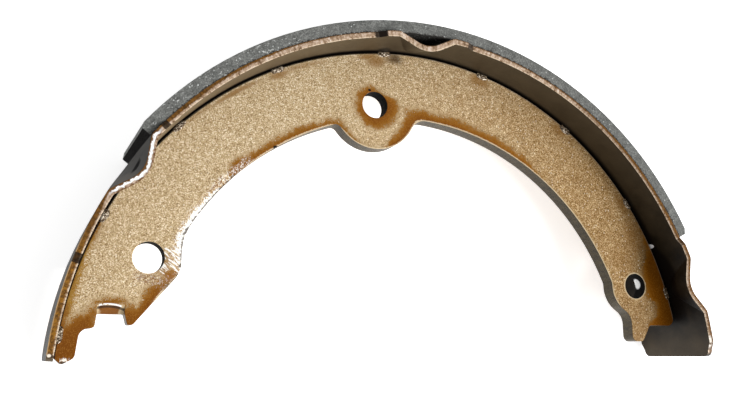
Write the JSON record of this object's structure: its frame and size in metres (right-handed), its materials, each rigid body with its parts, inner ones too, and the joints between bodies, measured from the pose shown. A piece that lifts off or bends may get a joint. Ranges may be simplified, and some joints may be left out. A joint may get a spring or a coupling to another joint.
{
  "type": "brake shoe",
  "caption": "Parking brake shoe: stamped T-section steel web and rolled table with a bonded friction lining, crimped contact nibs, spring holes and a strut slot.",
  "frame": {"origin": "centre of the bounding box in plan, on the surface the shoe lies on", "axes": "+Z along the drum axis, out of the upper face of the web; +Y from the drum axis to the middle of the table; +X from the pivot end to the adjuster end"},
  "size_m": [0.2024, 0.0996, 0.0324],
  "materials": {
    "web": "yellow-gold coated steel stamping with glossy brown coating pooled along its edges",
    "table": "dark brown glossy coated rolled steel strip with bare pinkish sheared edges",
    "lining": "dark grey resin-bonded friction material with pale specks"
  },
  "bodies": {
    "root": {"web": "web", "table": "table", "lining": "lining"}
  },
  "joints": []
}
